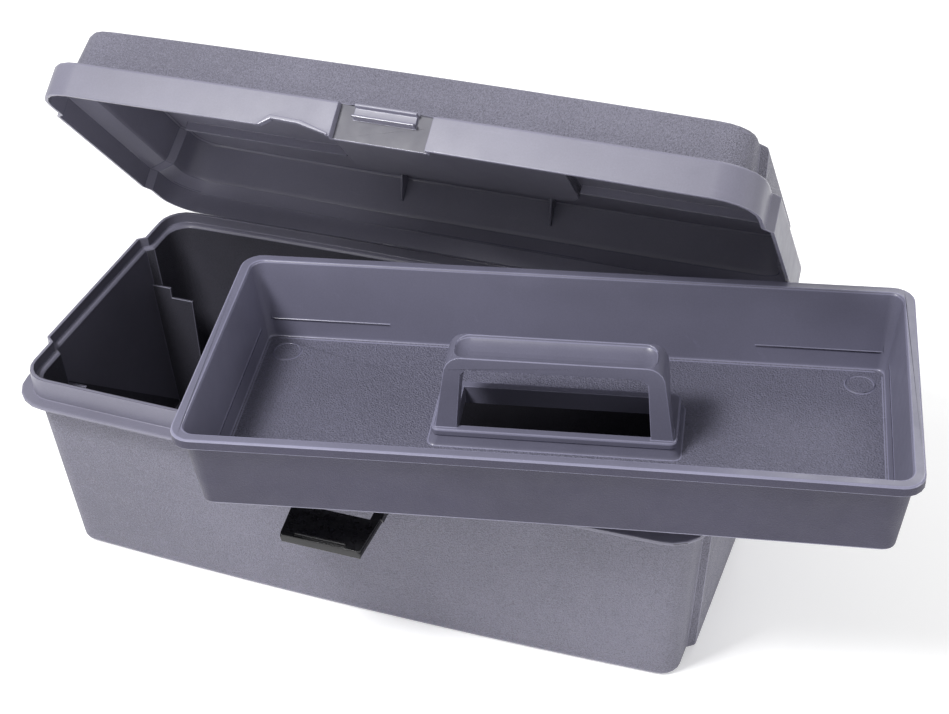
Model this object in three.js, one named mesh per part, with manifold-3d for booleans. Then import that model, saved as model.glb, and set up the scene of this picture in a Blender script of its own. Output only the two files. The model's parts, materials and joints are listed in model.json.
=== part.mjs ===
// Moulded plastic tool box with its lid open and its lift-out tray lying across the rim.
// Millimetres, +Z up, +Y towards the hinge, +X along the length. The origin is the middle of the underside.
import * as THREE from 'three';
import { mergeVertices } from 'three/addons/utils/BufferGeometryUtils.js';
import Module from 'manifold-3d';

const wasm = await Module();
wasm.setup();

// ---------------------------------------------------------------- driving dimensions
const GAP = 0.3; // clearance between pieces that touch

const BASE = {
  height: 156.85, // underside to collar top
  collarHeight: 16.6, // upright band above the flange
  halfLength: 240, halfDepth: 112.6, // collar, outside
  bottomInset: 12.2, // how far the foot of the walls stands in from the collar
  flangeOut: 8.7, flangeThick: 3,
  wall: 3.2, collarWall: 2.6,
  ledgeDepth: 8.4, ledgeStep: 4.2, // ledge that the tub's mouth makes under the collar
  cornerRadius: 20, footRadius: 13,
  bow: 2.7, footBow: 4.9, // how far the long walls bulge at their middle
};
const OUTSET = { by: 5.2, flat: 66, ramp: 4 }; // middle of each end wall stands proud
const FLANGE_TOP = BASE.height - BASE.collarHeight;

const FIN = { // stepped rests for the tray, two on each end wall
  inner: 203.5, step: 221, lowTop: 108, highTop: 117, y: 64, thick: 2,
  wallTop: 240, wallFoot: 231.6, foot: 2,
};

const LID = {
  open: 0.886, // radians from closed
  pivotY: 129.1, pivotZ: 134.8,
  halfLength: 248.2, halfDepth: 120.8, skirtHeight: 24.8, // skirt, outside
  height: 55.9, domeInset: 11.7, domeDraft: 2.6, domeBow: 4.4,
  wall: 2.6, cornerRadius: 28, domeRadius: 20, topRound: 4,
  outsetFlat: 71, outsetRamp: 5,
};
const LID_FOOT = FLANGE_TOP + GAP;
const SHOULDER = FLANGE_TOP + LID.skirtHeight;
const LID_TOP = FLANGE_TOP + LID.height;
const CEILING = LID_TOP - LID.wall;

const RECESS = { halfX: 85.4, halfY: 75.4, depth: 7.8, radius: 12 }; // for the carry handle
const RIB = { y: 58, from: 90, to: 224, drop: 7, thick: 2 }; // stiffeners under the lid's top
const GUSSET = { x: 59, thick: 2, drop: 18.5, reach: 12 };

const FRONT_X = 4.5; // middle of the latch, its catch and its cut-out
const CUTOUT = { half: 32.5, panelFace: -118.2, panelBack: -116 };
const CATCH = { half: 21.3, face: -123.8, bottom: 155.4, top: 165, lip: 1.8, groove: 3.4 };
const NOTCH = { left: -77, archLeft: -70, archRight: -51, right: -31, rise: 5.2, lip: 2.6, lipFace: -124.8 };
const PADLOCK_HOLE = { x: -54, y: -119.7, radius: 2.8 };

const HINGE = {
  knuckle: 4.2, pin: 1.6, bore: 1.9, half: 65.5,
  base: [[-65, -42], [-12, 12], [42, 65]],
  lid: [[-41.3, -12.7], [12.7, 41.3]],
  notchHalf: 70, notchRise: 2,
};

const LATCH = {
  pivotY: -118.5, pivotZ: 124.5, open: THREE.MathUtils.degToRad(98.8),
  inner: 5.7, outer: 8.1, // the plate's faces, outwards from the pivot when closed
  length: 43.5, windowEnd: 16, armInner: 24.6, rootHalf: 32, taper: 0.082,
  cheek: 2.4, lip: 5, lipThick: 2.2, flangeDrop: 3.4,
  hookFrom: 40, hookTo: 41.8, hookDrop: 2.4, pin: 1.5, bore: 1.8, pinHalf: 33.2,
};
const EAR = { from: 25.5, to: 29.2 }; // moulded pivot ears, from the latch's middle

const TRAY = {
  x: 133.3, y: -61.75, yaw: 0.209, // how it lies on the rim
  halfLength: 226.1, halfDepth: 101.5, height: 60.84, draft: 12.05,
  lip: 7.15, lipThick: 2, rimInset: 7.1, wall: 2.2, floor: 2.5,
  shoulderInset: 5, frontBow: -1.5, cornerRadius: 14, footRadius: 8,
  ridgeDepth: 45, ridgeSize: 0.9,
};
const GRIP = { // the tray's arched handle, in the tray's own frame, rim top at 0
  y: 6, top: 3, foot: -47, halfTop: 70.8, halfFoot: 76.9, depthTop: 13.5, depthFoot: 22,
  legDepth: 12, windowTop: -5, windowHalfTop: 59.6, windowHalfFoot: 62.6, round: 12,
  scoop: 5.5, scoopHalfX: 65.5, scoopHalfY: 12.4,
};
const MARK = { x: 195, y: 70, radius: 10, line: 0.8, height: 0.4 }; // moulding rings on the tray's floor
const WELL = { // raised rim round the opening under the grip
  halfX: 64, halfY: 20.3, y: 7.8, rail: 4.5, apron: 5, top: -47,
};

const HANDLE = { // carry handle on the lid, folded into its recess
  half: 73, armWidth: 9, armHeight: 7.5, pivotY: 24, gripY: -36, gripDepth: 17, gripHeight: 12,
  lift: 0.5, pin: 2, bore: 2.3, lugFrom: 78.2, lugTo: 82, pinInner: 66.5,
};
const RECESS_FLOOR = LID_TOP - RECESS.depth;
const HANDLE_FLOOR = RECESS_FLOOR + HANDLE.lift;
const HANDLE_AXIS = HANDLE_FLOOR + HANDLE.armHeight / 2;

// ---------------------------------------------------------------- materials
const plastic = (color, roughness) => new THREE.MeshStandardMaterial({ color, roughness, metalness: 0 });
const GREY = plastic(0x7d7c8a, 0.55);
const TRAY_GREY = plastic(0x6c6b7b, 0.5);
const BLACK = plastic(0x141414, 0.35);
const STEEL = new THREE.MeshStandardMaterial({ color: 0x9a9a9a, roughness: 0.35, metalness: 1 });

// ---------------------------------------------------------------- solids
function solid(geometry) {
  geometry.deleteAttribute('normal');
  geometry.deleteAttribute('uv');
  const merged = mergeVertices(geometry, 1e-4);
  return new wasm.Manifold(new wasm.Mesh({
    numProp: 3,
    vertProperties: new Float32Array(merged.attributes.position.array),
    triVerts: new Uint32Array(merged.index.array),
  }));
}

function toMesh(name, manifold, material) {
  const data = manifold.getMesh();
  const geometry = new THREE.BufferGeometry();
  geometry.setAttribute('position', new THREE.BufferAttribute(new Float32Array(data.vertProperties), 3));
  geometry.setIndex(new THREE.BufferAttribute(new Uint32Array(data.triVerts), 1));
  geometry.computeVertexNormals();
  const mesh = new THREE.Mesh(geometry, material);
  mesh.name = name;
  return mesh;
}

const union = (parts) => parts.reduce((sum, part) => sum.add(part));

function block(x0, x1, y0, y1, z0, z1) {
  const geometry = new THREE.BoxGeometry(x1 - x0, y1 - y0, z1 - z0);
  return solid(geometry.translate((x0 + x1) / 2, (y0 + y1) / 2, (z0 + z1) / 2));
}

const extrude = (points, depth) => new THREE.ExtrudeGeometry(
  new THREE.Shape(points.map(([u, v]) => new THREE.Vector2(u, v))),
  { depth, bevelEnabled: false },
);

// A profile of [y, z] points run along X.
function prismX(points, x0, x1) {
  const geometry = extrude(points, x1 - x0);
  geometry.applyMatrix4(new THREE.Matrix4().set(0, 0, 1, x0, 1, 0, 0, 0, 0, 1, 0, 0, 0, 0, 0, 1));
  return solid(geometry);
}

// A profile of [x, z] points run along Y.
function prismY(points, y0, y1) {
  const geometry = extrude(points, y1 - y0);
  geometry.applyMatrix4(new THREE.Matrix4().set(1, 0, 0, 0, 0, 0, -1, y1, 0, 1, 0, 0, 0, 0, 0, 1));
  return solid(geometry);
}

function rodX(x0, x1, y, z, radius, sides = 20) {
  const geometry = new THREE.CylinderGeometry(radius, radius, x1 - x0, sides);
  return solid(geometry.rotateZ(Math.PI / 2).translate((x0 + x1) / 2, y, z));
}

function rodZ(x, y, z0, z1, radius, sides = 20) {
  const geometry = new THREE.CylinderGeometry(radius, radius, z1 - z0, sides);
  return solid(geometry.rotateX(Math.PI / 2).translate(x, y, (z0 + z1) / 2));
}

// Plan outline, counter-clockwise: rounded corners, bowed long sides and, on a shell, end walls whose
// middle stands proud between two short ramps.
function outline({ halfX, halfY, radius, bow = 0, backBow = bow, outset = null }) {
  const points = [];
  const straight = halfX - radius;
  const bulge = (x, amount) => amount * (1 - (x / straight) ** 2);
  const sideSteps = bow || backBow ? 10 : 1;
  const cornerSteps = 5;
  const corner = (sx, sy, from) => {
    for (let i = 1; i < cornerSteps; i += 1) {
      const a = from + (i / cornerSteps) * (Math.PI / 2);
      points.push([sx * straight + radius * Math.cos(a), sy * (halfY - radius) + radius * Math.sin(a)]);
    }
  };
  const end = (side) => {
    const mouth = halfY - radius;
    const xs = [[mouth, 0]];
    if (outset) xs.push([outset.flat + outset.ramp, 0], [outset.flat, outset.by]);
    const half = xs.map(([y, out]) => [side * (halfX + out), y]);
    const mirrored = half.map(([x, y]) => [x, -y]).reverse();
    const upwards = [...half.map(([x, y]) => [x, -y]), ...half.slice().reverse()];
    const downwards = [...half, ...mirrored];
    points.push(...(side > 0 ? upwards : downwards));
  };
  const side = (sign, amount) => {
    for (let i = 0; i <= sideSteps; i += 1) {
      const x = -sign * straight * (2 * (i / sideSteps) - 1);
      points.push([x, sign * (halfY + bulge(x, amount))]);
    }
  };
  side(-1, bow);
  corner(1, -1, -Math.PI / 2);
  end(1);
  corner(1, 1, 0);
  side(1, backBow);
  corner(-1, 1, Math.PI / 2);
  end(-1);
  corner(-1, -1, Math.PI);
  return points;
}

// Skin a stack of outlines, each with its height, and close both ends.
function loft(sections) {
  const rings = sections.map((section) => outline(section));
  const count = rings[0].length;
  const position = [];
  rings.forEach((ring, level) => ring.forEach(([x, y]) => position.push(x, y, sections[level].z)));
  const index = [];
  for (let level = 0; level + 1 < rings.length; level += 1) {
    for (let i = 0; i < count; i += 1) {
      const a = level * count + i;
      const b = level * count + ((i + 1) % count);
      index.push(a, b, b + count, a, b + count, a + count);
    }
  }
  const cap = (ring) => THREE.ShapeUtils.triangulateShape(ring.map(([x, y]) => new THREE.Vector2(x, y)), []);
  const top = (rings.length - 1) * count;
  cap(rings[0]).forEach(([a, b, c]) => index.push(a, c, b));
  cap(rings[rings.length - 1]).forEach(([a, b, c]) => index.push(top + a, top + b, top + c));
  const geometry = new THREE.BufferGeometry();
  geometry.setAttribute('position', new THREE.Float32BufferAttribute(position, 3));
  geometry.setIndex(index);
  return solid(geometry);
}

// ---------------------------------------------------------------- base
const baseLevel = (z, inset, extra = {}) => ({
  z,
  halfX: BASE.halfLength - inset,
  halfY: BASE.halfDepth - inset,
  radius: BASE.cornerRadius,
  bow: BASE.bow,
  outset: OUTSET,
  ...extra,
});

function baseOuter() {
  const foot = { radius: BASE.footRadius, bow: BASE.footBow };
  const neck = FLANGE_TOP - BASE.flangeThick;
  const flange = { radius: BASE.cornerRadius + BASE.flangeOut };
  return loft([
    baseLevel(0, BASE.bottomInset + 2.4, foot),
    baseLevel(0.7, BASE.bottomInset + 0.9, foot),
    baseLevel(2.4, BASE.bottomInset, foot),
    baseLevel(neck, 2),
    baseLevel(neck, 0.6 - BASE.flangeOut, flange),
    baseLevel(neck + 0.6, -BASE.flangeOut, flange),
    baseLevel(FLANGE_TOP - 0.6, -BASE.flangeOut, flange),
    baseLevel(FLANGE_TOP, 0.6 - BASE.flangeOut, flange),
    baseLevel(FLANGE_TOP, 0),
    baseLevel(BASE.height - 0.5, 0),
    baseLevel(BASE.height, 0.5),
  ]);
}

function baseInner() {
  const foot = { radius: BASE.footRadius - 3, bow: BASE.footBow };
  const ledge = BASE.height - BASE.ledgeDepth;
  const mouth = BASE.collarWall + BASE.ledgeStep;
  return loft([
    baseLevel(BASE.wall, BASE.bottomInset + BASE.wall + 4, foot),
    baseLevel(BASE.wall + 1.2, BASE.bottomInset + BASE.wall + 1.2, foot),
    baseLevel(BASE.wall + 4, BASE.bottomInset + BASE.wall, foot),
    baseLevel(ledge - 1.4, mouth, { radius: BASE.cornerRadius - 4 }),
    baseLevel(ledge, mouth - 1.4, { radius: BASE.cornerRadius - 4 }),
    baseLevel(ledge + 0.6, BASE.collarWall, { radius: BASE.cornerRadius - 2 }),
    baseLevel(BASE.height + 5, BASE.collarWall, { radius: BASE.cornerRadius - 2 }),
  ]);
}

function fin(side, end) {
  const profile = [
    [FIN.inner, FIN.foot], [FIN.wallFoot, FIN.foot], [FIN.wallTop, FIN.highTop],
    [FIN.step, FIN.highTop], [FIN.step, FIN.lowTop], [FIN.inner, FIN.lowTop],
  ].map(([x, z]) => [side * x, z]);
  const y0 = end > 0 ? FIN.y : -FIN.y - FIN.thick;
  return prismY(side > 0 ? profile : profile.reverse(), y0, y0 + FIN.thick);
}

function baseKnuckle([x0, x1]) {
  const web = [
    [121.5, FLANGE_TOP - 2.8], [LID.pivotY, LID.pivotZ - 4], [LID.pivotY + 1, LID.pivotZ],
    [LID.pivotY, LID.pivotZ + 4], [124.2, FLANGE_TOP - 0.3], [121.5, FLANGE_TOP - 0.3],
  ];
  return prismX(web, x0, x1).add(rodX(x0, x1, LID.pivotY, LID.pivotZ, HINGE.knuckle));
}

function latchEar(side) {
  const profile = [[-111.4, 134], [-118.5, 129.3], [-122.4, 127.4], [-123.2, 124.5], [-122.4, 121.6],
    [-118.5, 119.9], [-110.4, 110]];
  const x = [FRONT_X + side * EAR.from, FRONT_X + side * EAR.to].sort((a, b) => a - b);
  return prismX(profile, x[0], x[1]);
}

function makeBase() {
  const body = union([
    baseOuter(),
    ...HINGE.base.map(baseKnuckle),
    latchEar(-1), latchEar(1),
  ]).subtract(baseInner());
  const fins = [[-1, -1], [-1, 1], [1, -1], [1, 1]].map(([side, end]) => fin(side, end));
  const bores = union([
    rodX(-HINGE.half - 5, HINGE.half + 5, LID.pivotY, LID.pivotZ, HINGE.bore),
    rodX(FRONT_X - EAR.to - 1, FRONT_X - EAR.from + 1, LATCH.pivotY, LATCH.pivotZ, LATCH.bore),
    rodX(FRONT_X + EAR.from - 1, FRONT_X + EAR.to + 1, LATCH.pivotY, LATCH.pivotZ, LATCH.bore),
    rodZ(PADLOCK_HOLE.x, PADLOCK_HOLE.y, FLANGE_TOP - 6, FLANGE_TOP + 3, PADLOCK_HOLE.radius),
  ]);
  return union([body, ...fins]).subtract(bores);
}

// ---------------------------------------------------------------- lid, drawn closed
const skirtOutset = { by: OUTSET.by, flat: LID.outsetFlat, ramp: LID.outsetRamp };
const lidLevel = (z, inset, extra = {}) => ({
  z,
  halfX: LID.halfLength - inset,
  halfY: LID.halfDepth - inset,
  radius: LID.cornerRadius,
  bow: BASE.bow,
  outset: skirtOutset,
  ...extra,
});
const dome = { radius: LID.domeRadius, bow: LID.domeBow };

function lidOuter() {
  const r = LID.topRound;
  const top = LID.domeInset + LID.domeDraft;
  return loft([
    lidLevel(LID_FOOT, 0),
    lidLevel(SHOULDER - 1.5, 0.5),
    lidLevel(SHOULDER - 0.4, 1),
    lidLevel(SHOULDER, 2.2),
    lidLevel(SHOULDER + 0.3, LID.domeInset - 1, dome),
    lidLevel(SHOULDER + 1.6, LID.domeInset, dome),
    lidLevel(LID_TOP - r, top, dome),
    lidLevel(LID_TOP - 0.3 * r, top + 0.3 * r, dome),
    lidLevel(LID_TOP, top + r, dome),
  ]);
}

function lidInner() {
  const t = LID.wall;
  const inside = { radius: LID.domeRadius - t, bow: LID.domeBow };
  const skirt = { radius: LID.cornerRadius - t };
  const top = LID.domeInset + LID.domeDraft + t;
  return loft([
    lidLevel(LID_FOOT - 5, t, skirt),
    lidLevel(LID_FOOT + 15.5, t, skirt),
    lidLevel(LID_FOOT + 16.2, t + 1.6, skirt),
    lidLevel(LID_FOOT + 21, LID.domeInset + t - 4, inside),
    lidLevel(LID_FOOT + 23.5, LID.domeInset + t - 1.2, inside),
    lidLevel(LID_FOOT + 27, LID.domeInset + t, inside),
    lidLevel(CEILING - 1.5, top, inside),
    lidLevel(CEILING, top + 1.5, inside),
  ]);
}

const recessLoft = (grow, z0, z1) => loft([
  { z: z0, halfX: RECESS.halfX + grow, halfY: RECESS.halfY + grow, radius: RECESS.radius + grow },
  { z: z1, halfX: RECESS.halfX + grow + 1, halfY: RECESS.halfY + grow + 1, radius: RECESS.radius + grow },
]);

function catchBar() {
  const { half, face, bottom, top, lip, groove } = CATCH;
  const profile = [
    [CUTOUT.panelBack - 1, bottom], [face, bottom], [face - 0.4, bottom + 0.6], [face, bottom + lip],
    [face + groove, bottom + lip + 0.7], [face + groove, top - lip - 0.5], [face + 0.5, top - lip],
    [face + 0.5, top], [CUTOUT.panelBack - 1, top],
  ].reverse();
  return prismX(profile, FRONT_X - half, FRONT_X + half);
}

function lidKnuckle([x0, x1]) {
  const web = [
    [LID.pivotY + 1.2, LID.pivotZ - 4], [LID.pivotY + 4, LID.pivotZ], [LID.pivotY + 3.4, LID.pivotZ + 4.5],
    [123.6, LID_FOOT + 12], [121.6, LID_FOOT + 12], [121.6, LID_FOOT + 2.6], [124.9, LID_FOOT + 2.6],
    [124.9, LID.pivotZ],
  ];
  return prismX(web, x0, x1).add(rodX(x0, x1, LID.pivotY, LID.pivotZ, HINGE.knuckle));
}

function gusset(x) {
  const wall = LID.halfDepth - LID.domeInset - LID.domeDraft;
  const profile = [
    [wall + 3.4, CEILING + 1], [wall - GUSSET.reach, CEILING + 1], [wall - GUSSET.reach, CEILING - 3],
    [wall + 1, CEILING - GUSSET.drop], [wall + 3.4, CEILING - GUSSET.drop],
  ];
  return prismX(profile, x - GUSSET.thick / 2, x + GUSSET.thick / 2);
}

function stiffener(side, end) {
  const x = [side * RIB.from, side * RIB.to].sort((a, b) => a - b);
  const y = end * RIB.y;
  return block(x[0], x[1], y - RIB.thick / 2, y + RIB.thick / 2, CEILING - RIB.drop, CEILING + 1);
}

function makeLid() {
  const shell = lidOuter().subtract(lidInner().subtract(
    recessLoft(LID.wall, RECESS_FLOOR - LID.wall, LID_TOP + 20),
  )).subtract(recessLoft(0, RECESS_FLOOR, LID_TOP + 20));
  const cut = block(FRONT_X - CUTOUT.half, FRONT_X + CUTOUT.half, -140, CUTOUT.panelFace,
    LID_FOOT - 5, SHOULDER + 2);
  const panel = block(FRONT_X - CUTOUT.half - 2, FRONT_X + CUTOUT.half + 2, CUTOUT.panelFace,
    CUTOUT.panelBack, LID_FOOT, SHOULDER - 1);
  const cheeks = [-1, 1].map((side) => {
    const x = [FRONT_X + side * CUTOUT.half, FRONT_X + side * (CUTOUT.half + 2)].sort((a, b) => a - b);
    return block(x[0], x[1], -122.6, CUTOUT.panelBack, LID_FOOT, SHOULDER - 1);
  });
  const notch = prismY([
    [NOTCH.left, LID_FOOT - 3], [NOTCH.right, LID_FOOT - 3], [NOTCH.right, LID_FOOT + 0.6],
    [NOTCH.archRight, LID_FOOT + NOTCH.rise - 0.6], [NOTCH.archLeft, LID_FOOT + NOTCH.rise],
    [NOTCH.left, LID_FOOT],
  ], -140, -110);
  const notchLip = prismY([
    [NOTCH.left - NOTCH.lip, LID_FOOT], [NOTCH.right + 1.6, LID_FOOT], [NOTCH.right + 1.6, LID_FOOT + 1.6],
    [NOTCH.archRight + 1, LID_FOOT + NOTCH.rise + NOTCH.lip - 0.6],
    [NOTCH.archLeft - 1.5, LID_FOOT + NOTCH.rise + NOTCH.lip],
  ], NOTCH.lipFace, NOTCH.lipFace + 3);
  const hingeNotch = block(-HINGE.notchHalf, HINGE.notchHalf, 110, 140, LID_FOOT - 3,
    LID_FOOT + HINGE.notchRise);
  const lugs = [-1, 1].map((side) => {
    const x = [side * HANDLE.lugFrom, side * HANDLE.lugTo].sort((a, b) => a - b);
    const profile = [
      [-6, RECESS_FLOOR - 1], [6, RECESS_FLOOR - 1], [6, HANDLE_AXIS + 1], [3.5, HANDLE_AXIS + 3.6],
      [-3.5, HANDLE_AXIS + 3.6], [-6, HANDLE_AXIS + 1],
    ].map(([y, z]) => [HANDLE.pivotY + y, z]);
    return prismX(profile, x[0], x[1]);
  });
  const handleBore = (side) => {
    const x = [side * (HANDLE.lugFrom - 2), side * (HANDLE.lugTo + 2)].sort((a, b) => a - b);
    return rodX(x[0], x[1], HANDLE.pivotY, HANDLE_AXIS, HANDLE.bore);
  };
  return union([
    shell.subtract(cut).add(notchLip).subtract(notch).subtract(hingeNotch),
    panel, ...cheeks, catchBar(),
    ...HINGE.lid.map(lidKnuckle),
    gusset(-GUSSET.x), gusset(GUSSET.x),
    ...[[-1, -1], [-1, 1], [1, -1], [1, 1]].map(([side, end]) => stiffener(side, end)),
    ...lugs,
  ]).subtract(rodX(-HINGE.half - 5, HINGE.half + 5, LID.pivotY, LID.pivotZ, HINGE.bore))
    .subtract(handleBore(-1))
    .subtract(handleBore(1));
}

// ---------------------------------------------------------------- carry handle
function makeCarryHandle() {
  const { half, armWidth, armHeight, pivotY, gripY, gripDepth, gripHeight } = HANDLE;
  const z0 = HANDLE_FLOOR;
  const arm = (side) => {
    const x = [side * (half - armWidth), side * half].sort((a, b) => a - b);
    const r = armHeight / 2;
    const profile = [[gripY, z0], [pivotY, z0], [pivotY + 0.7 * r, z0 + 0.3 * r], [pivotY + r, z0 + r],
      [pivotY + 0.7 * r, z0 + 1.7 * r], [pivotY, z0 + armHeight], [gripY, z0 + armHeight]];
    return prismX(profile, x[0], x[1]);
  };
  const grip = [];
  const sides = 16;
  for (let i = 0; i < sides; i += 1) { // flattened round section
    const a = (i / sides) * Math.PI * 2;
    const squash = 0.82 + 0.18 * Math.abs(Math.sin(2 * a));
    grip.push([gripY + (gripDepth / 2) * Math.cos(a) * squash,
      z0 + gripHeight / 2 + (gripHeight / 2) * Math.sin(a) * squash]);
  }
  return union([
    arm(-1), arm(1), prismX(grip, -half, half),
  ]).subtract(rodX(-half - 2, half + 2, pivotY, HANDLE_AXIS, HANDLE.bore));
}

const makeHandlePin = (side) => {
  const x = [side * HANDLE.pinInner, side * (HANDLE.lugTo + 1)].sort((a, b) => a - b);
  return rodX(x[0], x[1], HANDLE.pivotY, HANDLE_AXIS, HANDLE.pin);
};

// ---------------------------------------------------------------- latch, drawn closed
function makeLatch() {
  const { pivotY, pivotZ, inner, outer, length, windowEnd, armInner } = LATCH;
  const halfAt = (v) => LATCH.rootHalf - LATCH.taper * v;
  // A profile of [x, height above the pivot] points, between two distances outwards.
  const slab = (points, n0, n1) => prismY(
    points.map(([x, v]) => [FRONT_X + x, pivotZ + v]), pivotY - n1, pivotY - n0,
  );
  const plate = slab([[-halfAt(2), 2], [halfAt(2), 2], [halfAt(length), length - 1.5],
    [halfAt(length) - 1.5, length], [-halfAt(length) + 1.5, length], [-halfAt(length), length - 1.5]],
  inner, outer);
  const window = slab([[-armInner, 0], [armInner, 0], [armInner, windowEnd], [-armInner, windowEnd]],
    inner - 1, outer + 1);
  const tip = halfAt(length) - 0.4;
  const lip = slab([[-tip, length - LATCH.lipThick], [tip, length - LATCH.lipThick], [tip, length],
    [-tip, length]], outer - 0.5, outer + LATCH.lip);
  const hook = slab([[-18, LATCH.hookFrom], [18, LATCH.hookFrom], [18, LATCH.hookTo], [-18, LATCH.hookTo]],
    inner - LATCH.hookDrop, inner + 0.5);
  const sides = [-1, 1].map((side) => {
    const profile = [[8, 0], [length, 0], [length, 1], [8, 1]].map(([v, edge]) => [
      side * (halfAt(v) - (edge ? LATCH.cheek : 0)), v]);
    return slab(side > 0 ? profile : profile.reverse(), outer - 0.5, outer + LATCH.flangeDrop);
  });
  const cheeks = [-1, 1].map((side) => {
    const profile = [[-3.5, -1], [-1, -3.6], [8, -4.6], [13.5, -4.4], [13.5, 1], [11.5, 6], [11.5, 12],
      [inner + 0.5, 14], [inner - 1, 7], [0, 4.6], [-3.5, 2]].map(([n, v]) => [pivotY - n, pivotZ + v]);
    const x = [side * (LATCH.rootHalf - LATCH.cheek), side * LATCH.rootHalf].sort((a, b) => a - b);
    return prismX(profile.reverse(), FRONT_X + x[0], FRONT_X + x[1]);
  });
  const bore = rodX(FRONT_X - 36, FRONT_X + 36, pivotY, pivotZ, LATCH.bore);
  return union([plate.subtract(window), lip, hook, ...sides, ...cheeks]).subtract(bore);
}

// ---------------------------------------------------------------- tray, rim top at 0
const trayLevel = (z, inset, radius = TRAY.cornerRadius) => ({
  z,
  halfX: TRAY.halfLength - inset,
  halfY: TRAY.halfDepth - inset,
  radius,
  bow: TRAY.frontBow,
  backBow: 0,
});

function trayShell() {
  const { height, draft, lip, lipThick, rimInset, shoulderInset, footRadius, wall, floor } = TRAY;
  const outer = loft([
    trayLevel(-height, draft + 1.6, footRadius),
    trayLevel(1.6 - height, draft, footRadius),
    trayLevel(-lip, shoulderInset),
    trayLevel(-lip, 0),
    trayLevel(-0.7, 0),
    trayLevel(0, 0.7),
  ]);
  const inner = loft([
    trayLevel(floor - height, draft + wall + 2.4, footRadius - wall),
    trayLevel(floor - height + 0.8, draft + wall + 0.7, footRadius - wall),
    trayLevel(floor - height + 2.6, draft + wall, footRadius - wall),
    trayLevel(-1.2, rimInset + 0.4, TRAY.cornerRadius - 5),
    trayLevel(0, rimInset - 0.6, TRAY.cornerRadius - 5),
    trayLevel(5, rimInset - 0.6, TRAY.cornerRadius - 5),
  ]);
  const channel = loft([ // hollow under the turned-down rim
    trayLevel(-lip - 2, lipThick), trayLevel(-lipThick - 0.4, lipThick),
  ]).subtract(loft([
    trayLevel(-lip - 3, shoulderInset - 0.2), trayLevel(0, shoulderInset - 0.6),
  ]));
  return outer.subtract(channel).subtract(inner);
}

const scoopLevel = (depth, endInset, halfY) => ({
  z: GRIP.top - GRIP.scoop * depth, halfX: GRIP.scoopHalfX - endInset, halfY, radius: halfY * 0.75,
});

function trayHandle() {
  const { y, top, foot, halfTop, halfFoot, depthTop, depthFoot, legDepth, round } = GRIP;
  const arch = prismY([
    [-halfFoot, foot - 2], [halfFoot, foot - 2], [halfTop, top - round],
    ...[1, 2, 3, 4].map((i) => {
      const a = (i / 5) * (Math.PI / 2);
      return [halfTop - round + round * Math.cos(a), top - round + round * Math.sin(a)];
    }),
    [halfTop - round, top], [round - halfTop, top],
    ...[4, 3, 2, 1].map((i) => {
      const a = (i / 5) * (Math.PI / 2);
      return [round - halfTop - round * Math.cos(a), top - round + round * Math.sin(a)];
    }),
    [-halfTop, top - round],
  ], -40, 60);
  const window = prismY([
    [-GRIP.windowHalfFoot, foot - 3], [GRIP.windowHalfFoot, foot - 3],
    [GRIP.windowHalfTop, GRIP.windowTop - 4], [GRIP.windowHalfTop - 4, GRIP.windowTop],
    [4 - GRIP.windowHalfTop, GRIP.windowTop], [-GRIP.windowHalfTop, GRIP.windowTop - 4],
  ], -50, 70);
  // Side view: a leg that leans with the front face, under a grip that reaches back over the opening.
  const side = prismX([
    [y - depthFoot, foot - 2], [y - depthFoot + legDepth, foot - 2], [y - depthTop + legDepth, -24],
    [y + depthTop + 1.6, top - 2 * round + 8], [y + depthTop, top], [y - depthTop, top],
  ], -100, 100);
  const scoop = loft([ // a shallow round-ended hollow, deepest along its middle
    scoopLevel(1, 9, 2), scoopLevel(0.85, 5, 6.5), scoopLevel(0.6, 2.6, 9.9), scoopLevel(0.3, 1, 11.7),
    scoopLevel(-0.2, 0, GRIP.scoopHalfY),
  ]).translate([0, y, 0]);
  return arch.intersect(side).subtract(window).subtract(scoop);
}

function trayWell() {
  const floorTop = TRAY.floor - TRAY.height;
  const ring = (z, grow) => ({
    z, halfX: WELL.halfX + WELL.rail + grow + 9, halfY: WELL.halfY + WELL.rail + grow, radius: 5,
  });
  return loft([
    ring(floorTop - 1, WELL.apron), ring(floorTop + 1.6, WELL.apron - 2), ring(WELL.top - 4.4, 1),
    ring(WELL.top - 4.2, 1.9), ring(WELL.top - 0.7, 1.6), ring(WELL.top, 0.8),
  ]).translate([0, WELL.y, 0]);
}

function makeTray() {
  const opening = block(-WELL.halfX, WELL.halfX, WELL.y - WELL.halfY, WELL.y + WELL.halfY,
    -TRAY.height - 3, WELL.top + 2);
  const ridgeZ = -TRAY.ridgeDepth;
  const wallAt = TRAY.rimInset + (TRAY.draft + TRAY.wall - TRAY.rimInset) * (TRAY.ridgeDepth / TRAY.height);
  const backY = TRAY.halfDepth - wallAt;
  const endX = TRAY.halfLength - wallAt;
  const size = TRAY.ridgeSize;
  const ridges = [-1, 1].flatMap((side) => {
    const x = [side * 125, side * 209].sort((a, b) => a - b);
    const end = [side * (endX - size), side * (endX + 1)].sort((a, b) => a - b);
    return [
      block(x[0], x[1], backY - size, backY + 1, ridgeZ, ridgeZ + size),
      block(end[0], end[1], -backY + 14, backY - 14, ridgeZ, ridgeZ + size),
    ];
  });
  const floorTop = TRAY.floor - TRAY.height;
  const marks = [-1, 1].map((side) => {
    const disc = (radius, rise) => rodZ(side * MARK.x, MARK.y, floorTop - 0.5, floorTop + rise, radius, 28);
    return disc(MARK.radius, MARK.height).subtract(disc(MARK.radius - MARK.line, MARK.height + 1));
  });
  return union([trayShell(), trayWell()]).subtract(opening).add(trayHandle()).add(union([...ridges, ...marks]));
}

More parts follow.
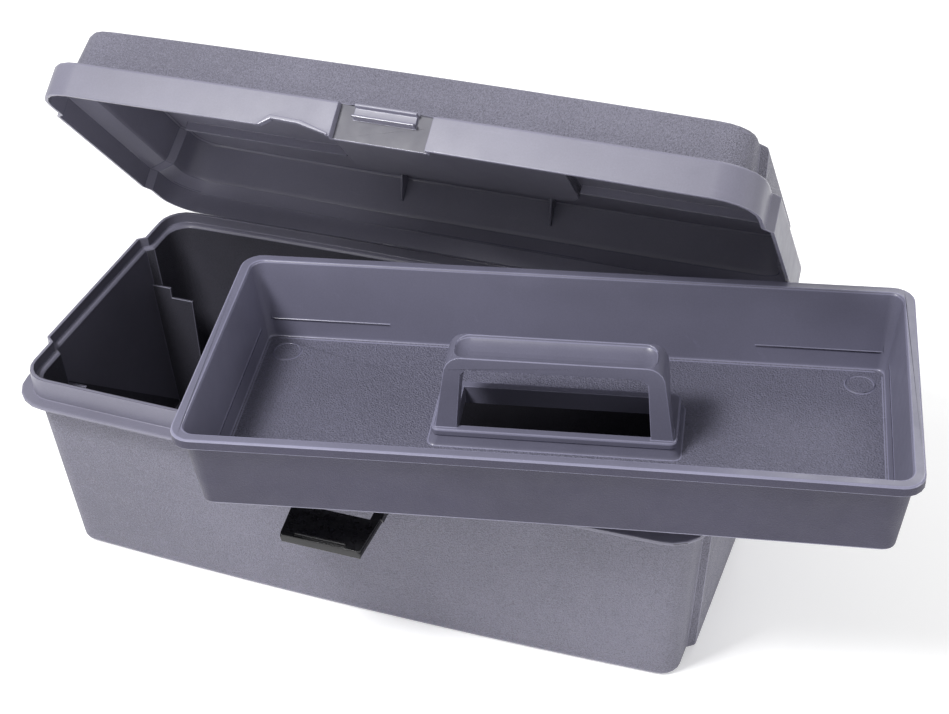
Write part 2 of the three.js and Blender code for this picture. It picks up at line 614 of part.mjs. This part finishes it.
// ---------------------------------------------------------------- assembly
const toolBox = new THREE.Group();
toolBox.add(toMesh('base_shell', makeBase(), GREY));
toolBox.add(toMesh('hinge_pin', rodX(-HINGE.half, HINGE.half, LID.pivotY, LID.pivotZ, HINGE.pin), STEEL));
toolBox.add(toMesh('latch_pin',
  rodX(FRONT_X - LATCH.pinHalf, FRONT_X + LATCH.pinHalf, LATCH.pivotY, LATCH.pivotZ, LATCH.pin), STEEL));

// Turns what it holds about an axis along X, from closed to the pose at rest.
function swing(meshes, y, z, angle) {
  const pivot = new THREE.Group();
  pivot.position.set(0, y, z);
  pivot.rotation.x = angle;
  meshes.forEach((mesh) => {
    mesh.position.set(0, -y, -z);
    pivot.add(mesh);
  });
  toolBox.add(pivot);
}

swing([
  toMesh('lid_shell', makeLid(), GREY),
  toMesh('carry_handle', makeCarryHandle(), BLACK),
  toMesh('handle_pin_left', makeHandlePin(-1), STEEL),
  toMesh('handle_pin_right', makeHandlePin(1), STEEL),
], LID.pivotY, LID.pivotZ, -LID.open);
swing([toMesh('latch', makeLatch(), BLACK)], LATCH.pivotY, LATCH.pivotZ, LATCH.open);

const tray = toMesh('tray', makeTray(), TRAY_GREY);
tray.position.set(TRAY.x, TRAY.y, BASE.height + GAP + TRAY.height);
tray.rotation.z = TRAY.yaw;
toolBox.add(tray);

export default toolBox;
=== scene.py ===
"""Looks of the moulded plastic tool box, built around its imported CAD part.

Metres, in the CAD part's frame. Each piece is a finished copy of a CAD node, with rounded edges, smooth
curves and a procedural material for each area of the moulding."""
import json
import math

import bmesh
import bpy
from mathutils import Matrix, Vector


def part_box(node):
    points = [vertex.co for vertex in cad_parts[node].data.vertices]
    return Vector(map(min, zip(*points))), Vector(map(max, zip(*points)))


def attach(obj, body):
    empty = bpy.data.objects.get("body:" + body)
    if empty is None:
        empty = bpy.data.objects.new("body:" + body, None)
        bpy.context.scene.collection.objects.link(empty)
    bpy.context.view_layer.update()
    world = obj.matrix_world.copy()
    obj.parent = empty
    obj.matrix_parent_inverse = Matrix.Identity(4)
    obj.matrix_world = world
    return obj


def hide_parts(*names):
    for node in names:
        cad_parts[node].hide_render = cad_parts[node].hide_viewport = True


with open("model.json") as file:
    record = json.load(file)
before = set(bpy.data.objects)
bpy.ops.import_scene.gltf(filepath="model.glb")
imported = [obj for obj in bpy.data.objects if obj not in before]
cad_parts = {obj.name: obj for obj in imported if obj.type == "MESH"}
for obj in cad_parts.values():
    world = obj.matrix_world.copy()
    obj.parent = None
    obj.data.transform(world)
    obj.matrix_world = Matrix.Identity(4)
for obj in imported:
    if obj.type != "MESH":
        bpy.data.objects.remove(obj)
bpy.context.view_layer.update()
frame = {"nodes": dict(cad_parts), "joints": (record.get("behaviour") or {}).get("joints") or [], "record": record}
MM = 0.001

# ---------------------------------------------------------------- where things are
JOINTS = {joint["name"]: joint for joint in frame["joints"]}
HINGE = Vector(JOINTS["lid_hinge"]["pos_m"])
LATCH_PIVOT = Vector(JOINTS["latch_hinge"]["pos_m"])
LID_OPEN = 0.886  # radians from closed, about the hinge
LID_TO_ROW = Matrix.Translation(HINGE) @ Matrix.Rotation(-LID_OPEN, 4, "X") @ Matrix.Translation(-HINGE)

# The tub, as it stands.
FLANGE_TOP = 140.25 * MM
COLLAR_FROM = FLANGE_TOP + 2 * MM
WALLS_TO = FLANGE_TOP - 4 * MM  # just under the flange
UNDERSIDE_TO = 2 * MM
TUB_MARGIN = Vector((20 * MM, 14 * MM, 0))  # from the outermost edges to the mouth
TUB_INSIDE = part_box("base_shell")[1] - TUB_MARGIN  # inner faces lie within this

# The lid, as it is when closed.
SHOULDER = 165.05 * MM  # where the skirt ends and the dome starts
DOME_FROM = SHOULDER + 1 * MM
PANEL_HALF = 32 * MM  # the recessed panel behind the latch
PANEL_FRONT, PANEL_BACK = -119 * MM, -117 * MM

# The tray, in its own frame: rim top at 0.
TRAY_HEIGHT = 60.84 * MM
TRAY_YAW = 0.209  # radians
TRAY_PLACE = Vector((133.3 * MM, -61.75 * MM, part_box("tray")[0].z + TRAY_HEIGHT))
TRAY_TO_ROW = Matrix.Translation(TRAY_PLACE) @ Matrix.Rotation(TRAY_YAW, 4, "Z")
TRAY_FLOOR = -56 * MM
TRAY_RIM = -3 * MM
TRAY_OUTER = (212 * MM, 88 * MM)  # half sizes: outside walls lie beyond these
TRAY_INNER = (190 * MM, 70 * MM)  # inside walls lie beyond these, the grip within

# How much of a face's direction lies along an axis.
WALL_BELOW = 0.5  # a wall has less than this along z
SQUARE_ON = 0.9  # a face square on to an axis has more than this along it


# ---------------------------------------------------------------- camera
def make_camera():
    target = Vector((47.4, 16.0, 145.9)) * MM
    azimuth, elevation, roll = 0.384, 0.641, -0.047
    distance = 1320.8 * MM
    back = Vector((
        math.sin(azimuth) * math.cos(elevation),
        -math.cos(azimuth) * math.cos(elevation),
        math.sin(elevation),
    ))
    data = bpy.data.cameras.new("camera")
    data.lens = 71.82
    data.sensor_width = 36
    camera = bpy.data.objects.new("camera", data)
    bpy.context.scene.collection.objects.link(camera)
    camera.location = target + back * distance
    turn = back.to_track_quat("Z", "Y").to_matrix() @ Matrix.Rotation(roll, 3, "Z")
    camera.rotation_euler = turn.to_euler()
    bpy.context.scene.camera = camera


# ---------------------------------------------------------------- materials
class Nodes:
    """A short way to write a node material."""

    MIX_A, MIX_B, MIX_RESULT = 6, 7, 2  # the colour sockets of a Mix node

    def __init__(self, name):
        self.material = bpy.data.materials.new(name)
        self.material.use_nodes = True
        self.tree = self.material.node_tree
        self.tree.nodes.clear()
        output = self.tree.nodes.new("ShaderNodeOutputMaterial")
        self.shader = self.tree.nodes.new("ShaderNodeBsdfPrincipled")
        self.link(self.shader.outputs["BSDF"], output.inputs["Surface"])
        self.where = self.tree.nodes.new("ShaderNodeTexCoord").outputs["Object"]

    def link(self, a, b):
        self.tree.links.new(a, b)

    def set(self, **values):
        """Give the shader's sockets their links or numbers, with _ for a space in the name."""
        for key, value in values.items():
            socket = self.shader.inputs[key.replace("_", " ")]
            if isinstance(value, bpy.types.NodeSocket):
                self.link(value, socket)
            else:
                socket.default_value = value

    def add(self, kind, inputs=None, **settings):
        node = self.tree.nodes.new("ShaderNode" + kind)
        for key, value in settings.items():
            setattr(node, key, value)
        for key, value in (inputs or {}).items():
            if isinstance(value, bpy.types.NodeSocket):
                self.link(value, node.inputs[key])
            else:
                node.inputs[key].default_value = value
        return node

    def math(self, operation, a, b):
        return self.add("Math", {0: a, 1: b}, operation=operation).outputs[0]

    def noise(self, scale, detail=3, roughness=0.5, where=None):
        inputs = {"Vector": where or self.where, "Scale": scale, "Detail": detail, "Roughness": roughness}
        return self.add("TexNoise", inputs).outputs["Fac"]

    def cells(self, scale, smoothness):
        inputs = {"Vector": self.where, "Scale": scale, "Randomness": 1}
        node = self.add("TexVoronoi", inputs, feature="SMOOTH_F1")
        node.inputs["Smoothness"].default_value = smoothness
        return node.outputs["Distance"]

    def stretched(self, scale):
        inputs = {"Vector": self.where, "Scale": scale}
        return self.add("Mapping", inputs).outputs["Vector"]

    def spread(self, value, low, high, to_low, to_high):
        inputs = {"Value": value, 1: low, 2: high, 3: to_low, 4: to_high}
        return self.add("MapRange", inputs).outputs["Result"]

    def colours(self, value, dark, light):
        ramp = self.add("ValToRGB", {"Fac": value})
        for element, position, colour in zip(ramp.color_ramp.elements, (0.3, 0.7), (dark, light)):
            element.position = position
            element.color = (*colour, 1)
        return ramp.outputs["Color"]

    def mixed(self, amount, colour_a, colour_b):
        node = self.add("Mix", {0: amount}, data_type="RGBA")
        self.link(colour_a, node.inputs[self.MIX_A])
        node.inputs[self.MIX_B].default_value = (*colour_b, 1)
        return node.outputs[self.MIX_RESULT]

    def bump(self, height, distance, strength, normal=None):
        inputs = {"Height": height, "Distance": distance, "Strength": strength}
        if normal:
            inputs["Normal"] = normal
        return self.add("Bump", inputs).outputs["Normal"]


def shade(colour, factor):
    return tuple(min(1, channel * factor) for channel in colour)


def moulded_plastic(name, colour, roughness, grain=0.0, pebble=1.05 * MM):
    """Moulded polypropylene: cloudy colour, faint flow marks and scuffs, and pebble grain where the mould
    has it. grain is the grain's strength, from 0 to 1, and pebble is the size of one pebble."""
    n = Nodes(name)
    cloud = n.noise(7, 4, 0.6)
    speck = n.noise(1 / pebble, 3, 0.65)
    swing = 0.1 + 0.5 * grain
    blend = n.math("ADD", cloud, n.spread(speck, 0.25, 0.75, -swing, swing))
    mottle = 0.12 + 0.05 * grain
    base = n.colours(blend, shade(colour, 1 - mottle), shade(colour, 1 + mottle))

    scratches = n.noise(1, 5, 0.7, n.stretched((28, 420, 60)))
    scuff = n.math("MULTIPLY", n.spread(scratches, 0.62, 0.74, 0, 1), 0.22)
    gloss = n.spread(n.noise(60, 3, 0.6), 0.3, 0.7, roughness - 0.05, roughness + 0.06)

    relief = n.bump(n.noise(26, 2, 0.4), 0.35 * MM, 0.2)
    if grain:
        pebbles = n.math("ADD", n.cells(1 / pebble, 0.4), n.noise(1.4 / pebble, 3, 0.65))
        relief = n.bump(pebbles, 0.85 * MM, grain, relief)
    else:
        relief = n.bump(n.noise(2600, 2, 0.5), 0.03 * MM, 0.3, relief)
    n.set(Base_Color=n.mixed(scuff, base, shade(colour, 1.5)), Roughness=gloss, IOR=1.49, Normal=relief)
    return n.material


def black_gloss():
    """Gloss black plastic with a faint orange peel, dust and hairline marks."""
    n = Nodes("gloss_black_plastic")
    dust = n.colours(n.noise(240, 4, 0.7), (0.006, 0.006, 0.007), (0.017, 0.017, 0.019))
    hairs = n.noise(1, 4, 0.7, n.stretched((60, 900, 90)))
    orange_peel = n.bump(n.noise(180, 2, 0.4), 0.1 * MM, 0.12)
    n.set(Base_Color=dust, Roughness=n.spread(hairs, 0.5, 0.75, 0.16, 0.34), Normal=orange_peel)
    n.set(IOR=1.5, Specular_IOR_Level=0.3)
    return n.material


def bright_steel():
    """Drawn steel wire: fine lines along its length."""
    n = Nodes("bright_steel")
    drawn = n.noise(1, 4, 0.6, n.stretched((40, 3000, 3000)))
    n.set(Base_Color=n.colours(drawn, (0.42, 0.42, 0.43), (0.66, 0.66, 0.67)), Metallic=1)
    n.set(Roughness=n.spread(drawn, 0.3, 0.7, 0.22, 0.4), Normal=n.bump(drawn, 0.04 * MM, 0.3))
    return n.material


def floor_paint():
    """Pale matt paint, a little self-lit so that the floor stays near white around the shadow."""
    n = Nodes("floor_paint")
    n.set(Base_Color=n.colours(n.noise(3, 3, 0.5), (0.86, 0.86, 0.86), (0.9, 0.9, 0.9)), Roughness=0.9)
    n.set(Emission_Color=(1, 1, 1, 1), Emission_Strength=0.3)
    return n.material


# Linear colours. Shades of one plastic give the areas of a moulding their contrast: the darker tub inside and
# latch panel are painted shade, the lighter lid inside and tray inner walls are painted light, and the lighter
# rounded edges are edge wear with a painted highlight.
GREY = (0.165, 0.161, 0.21)
SMOOTH = moulded_plastic("grey_plastic_smooth", GREY, 0.4)
PEBBLED = moulded_plastic("grey_plastic_pebbled", GREY, 0.5, grain=1.0)
# Painted shade: the tub's inside is the same plastic, darkened for the shade that falls inside the tub.
TUB_INSIDE_PAINTED_SHADE = moulded_plastic("grey_plastic_tub_inside_painted_shade", shade(GREY, 0.35), 0.5, grain=0.3)
# Painted light: the lid's inside is the same plastic, lightened for light that falls into it.
LID_INSIDE_PAINTED_LIGHT = moulded_plastic("grey_plastic_lid_inside_painted_light", shade(GREY, 1.35), 0.34)
# Painted shade: the recessed latch panel is the same plastic, darkened for the shade in its recess.
LATCH_PANEL_PAINTED_SHADE = moulded_plastic("grey_plastic_latch_panel_painted_shade", shade(GREY, 0.42), 0.5)
# Edge wear with a painted highlight: rounded edges a little lighter, for rubbed edges and the bright lines that
# light draws along them.
EDGE_WEAR_AND_HIGHLIGHT = moulded_plastic("grey_plastic_polished_edge_and_painted_highlight", shade(GREY, 1.2), 0.22)

TRAY_GREY = (0.12, 0.118, 0.165)
TRAY_DARK = (0.034, 0.031, 0.062)
TRAY_OUTSIDE = moulded_plastic("tray_plastic_outside", TRAY_DARK, 0.5, grain=0.25, pebble=1 * MM)
TRAY_SMOOTH = moulded_plastic("tray_plastic_smooth", shade(TRAY_GREY, 1.2), 0.36)
# Painted light: the tray's inner walls are the same plastic, lightened for light that reaches them only weakly.
TRAY_WALLS_PAINTED_LIGHT = moulded_plastic("tray_plastic_inner_walls_painted_light", shade(TRAY_GREY, 1.35), 0.36)
TRAY_PEBBLED = moulded_plastic(
    "tray_plastic_pebbled", shade(TRAY_GREY, 1.12), 0.46, grain=0.85, pebble=1.25 * MM
)
# Edge wear with a painted highlight on the tray's rounded edges, much lighter than its plastic.
TRAY_EDGE_WEAR_AND_HIGHLIGHT = moulded_plastic("tray_plastic_polished_edge_and_painted_highlight", shade(TRAY_GREY, 1.9), 0.22)

BLACK = black_gloss()
STEEL = bright_steel()


# ---------------------------------------------------------------- which area has which material
# Each function gets a face's middle and outward direction in the frame that the piece was moulded in.
def faces_out(centre, normal):
    """Whether a face of a hollow shell looks away from the shell's middle."""
    return centre.x * normal.x + centre.y * normal.y > 0


def beyond(centre, half_sizes):
    return max(abs(centre.x) / half_sizes[0], abs(centre.y) / half_sizes[1]) > 1


def base_area(centre, normal):
    """Pebble grain on the outside walls below the flange, an inside darkened as painted shade, the rest smooth."""
    if centre.z > COLLAR_FROM:
        return SMOOTH
    below_flange = centre.z < WALLS_TO
    if below_flange and abs(normal.z) < WALL_BELOW and faces_out(centre, normal):
        return PEBBLED
    on_flange = centre.z > WALLS_TO and abs(normal.z) > SQUARE_ON
    inside = abs(centre.x) < TUB_INSIDE.x and abs(centre.y) < TUB_INSIDE.y and centre.z > UNDERSIDE_TO
    return TUB_INSIDE_PAINTED_SHADE if inside and not on_flange else SMOOTH


def lid_area(centre, normal):
    """Pebble grain on the outside of the dome, a smooth skirt, a smooth inside lightened as painted light, and the
    recessed latch panel darkened as painted shade.
    """
    by_latch = abs(centre.x - LATCH_PIVOT.x) < PANEL_HALF
    if by_latch and PANEL_FRONT < centre.y < PANEL_BACK and normal.y < -SQUARE_ON:
        return LATCH_PANEL_PAINTED_SHADE
    top = normal.z > WALL_BELOW and centre.z > SHOULDER
    outer = abs(normal.z) <= WALL_BELOW and faces_out(centre, normal)
    if centre.z > DOME_FROM and (top or outer):
        return PEBBLED
    return SMOOTH if outer or top else LID_INSIDE_PAINTED_LIGHT


def tray_area(centre, normal):
    """Coarse grain on the tray's floor, smooth inside walls lightened as painted light, smooth grip and rim,
    darker outside walls.
    """
    if centre.z < TRAY_FLOOR and normal.z > SQUARE_ON:
        return TRAY_PEBBLED
    wall = abs(normal.z) < WALL_BELOW
    outer_wall = wall and faces_out(centre, normal) and beyond(centre, TRAY_OUTER)
    if outer_wall or normal.z < -WALL_BELOW:
        return TRAY_OUTSIDE
    inner_wall = wall and beyond(centre, TRAY_INNER) and centre.z < TRAY_RIM
    return TRAY_WALLS_PAINTED_LIGHT if inner_wall else TRAY_SMOOTH


# ---------------------------------------------------------------- pieces
def node_body(node):
    bodies = frame["record"]["behaviour"]["bodies"]
    return next(body for body, nodes in bodies.items() if node in nodes)


def clean_skin(mesh, materials, pick, to_row):
    """Merge doubled points and flat pairs of triangles, and give each face the material of its area."""
    bm = bmesh.new()
    bm.from_mesh(mesh)
    bmesh.ops.remove_doubles(bm, verts=bm.verts, dist=0.004 * MM)
    bmesh.ops.join_triangles(
        bm, faces=bm.faces, angle_face_threshold=math.radians(0.4), angle_shape_threshold=math.radians(60)
    )
    home = to_row.inverted() if to_row else Matrix.Identity(4)
    for face in bm.faces:
        face.smooth = True
        face.material_index = 0
        if pick:
            area = pick(home @ face.calc_center_median(), home.to_3x3() @ face.normal)
            face.material_index = materials.index(area)
    bm.to_mesh(mesh)
    bm.free()


def round_edges(piece, width, material_index):
    bevel = piece.modifiers.new("rounded_edges", "BEVEL")
    bevel.width = width
    bevel.segments = 2
    bevel.limit_method = "ANGLE"
    bevel.angle_limit = math.radians(23)
    # On the plastic pieces the rounded edges take a lighter edge material: edge wear with a painted highlight.
    bevel.material = material_index
    bevel.use_clamp_overlap = False
    even = piece.modifiers.new("even_shading", "WEIGHTED_NORMAL")
    even.keep_sharp = True
    even.weight = 80


def keep_within(piece, low, high):
    """Apply the modifiers and hold the result to the CAD node's box, which a mitred corner can leave."""
    evaluated = piece.evaluated_get(bpy.context.evaluated_depsgraph_get())
    made = bpy.data.meshes.new_from_object(evaluated)
    piece.modifiers.clear()
    piece.data = made
    for vertex in made.vertices:
        vertex.co = Vector(map(max, low, map(min, high, vertex.co)))


def refine(node, name, materials, pick=None, to_row=None, width=0.5 * MM):
    """A finished copy of a CAD node, which it replaces. width is the width of its rounded edges.

    pick gives each face its material, in the frame that the piece was moulded in, which to_row turns into
    the row's frame. Without pick the first material is everywhere. Rounded edges have the last one."""
    mesh = frame["nodes"][node].data.copy()
    mesh.materials.clear()
    for material in materials:
        mesh.materials.append(material)
    clean_skin(mesh, materials, pick, to_row)
    piece = bpy.data.objects.new(name, mesh)
    bpy.context.scene.collection.objects.link(piece)
    round_edges(piece, width, len(materials) - 1)
    keep_within(piece, *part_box(node))
    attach(piece, node_body(node))
    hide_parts(node)


def make_pieces():
    shell = [SMOOTH, PEBBLED, TUB_INSIDE_PAINTED_SHADE, EDGE_WEAR_AND_HIGHLIGHT]
    refine("base_shell", "tub", shell, base_area)
    cover = [SMOOTH, PEBBLED, LID_INSIDE_PAINTED_LIGHT, LATCH_PANEL_PAINTED_SHADE, EDGE_WEAR_AND_HIGHLIGHT]
    refine("lid_shell", "lid", cover, lid_area, LID_TO_ROW)
    insert = [TRAY_SMOOTH, TRAY_PEBBLED, TRAY_OUTSIDE, TRAY_WALLS_PAINTED_LIGHT, TRAY_EDGE_WEAR_AND_HIGHLIGHT]
    refine("tray", "lift_out_tray", insert, tray_area, TRAY_TO_ROW)
    refine("latch", "front_latch", [BLACK], width=0.4 * MM)
    refine("carry_handle", "folding_handle", [BLACK], width=0.4 * MM)
    for node in ("latch_pin", "hinge_pin", "handle_pin_left", "handle_pin_right"):
        refine(node, node + "_wire", [STEEL], width=0.25 * MM)


# ---------------------------------------------------------------- surroundings
FLOOR_SIZE = 40
FLOOR_GAP = 0.4 * MM  # between the floor and the underside

MIDDLE = (0.05, 0, 0.12)  # where the lights point
LIGHTS = [  # name, place, size and power in watts
    ("key", (-0.6, -0.9, 1.7), (0.6, 0.4), 35),
    ("front_fill", (-0.3, -1.9, 0.35), (1.0, 0.5), 4.5),
    ("back_rim", (0.4, 1.2, 1.3), (0.8, 0.4), 7),
    ("side_fill", (1.9, -0.1, 0.5), (0.6, 0.6), 7),
]


def make_floor():
    bm = bmesh.new()
    bmesh.ops.create_grid(bm, x_segments=1, y_segments=1, size=FLOOR_SIZE)
    mesh = bpy.data.meshes.new("floor")
    bm.to_mesh(mesh)
    bm.free()
    mesh.materials.append(floor_paint())
    floor = bpy.data.objects.new("floor", mesh)
    floor.location.z = -FLOOR_GAP
    bpy.context.scene.collection.objects.link(floor)


def area_light(name, place, size, power):
    data = bpy.data.lights.new(name, "AREA")
    data.shape = "RECTANGLE"
    data.size, data.size_y = size
    data.energy = power
    light = bpy.data.objects.new(name, data)
    light.location = place
    light.rotation_euler = (Vector(place) - Vector(MIDDLE)).to_track_quat("Z", "Y").to_euler()
    bpy.context.scene.collection.objects.link(light)


def make_light():
    world = bpy.data.worlds.new("studio")
    world.use_nodes = True
    background = world.node_tree.nodes["Background"]
    background.inputs["Color"].default_value = (1, 1, 1, 1)
    background.inputs["Strength"].default_value = 0.5
    bpy.context.scene.world = world
    for light in LIGHTS:
        area_light(*light)
    bpy.context.scene.view_settings.view_transform = "Standard"


make_camera()
make_pieces()
make_floor()
make_light()
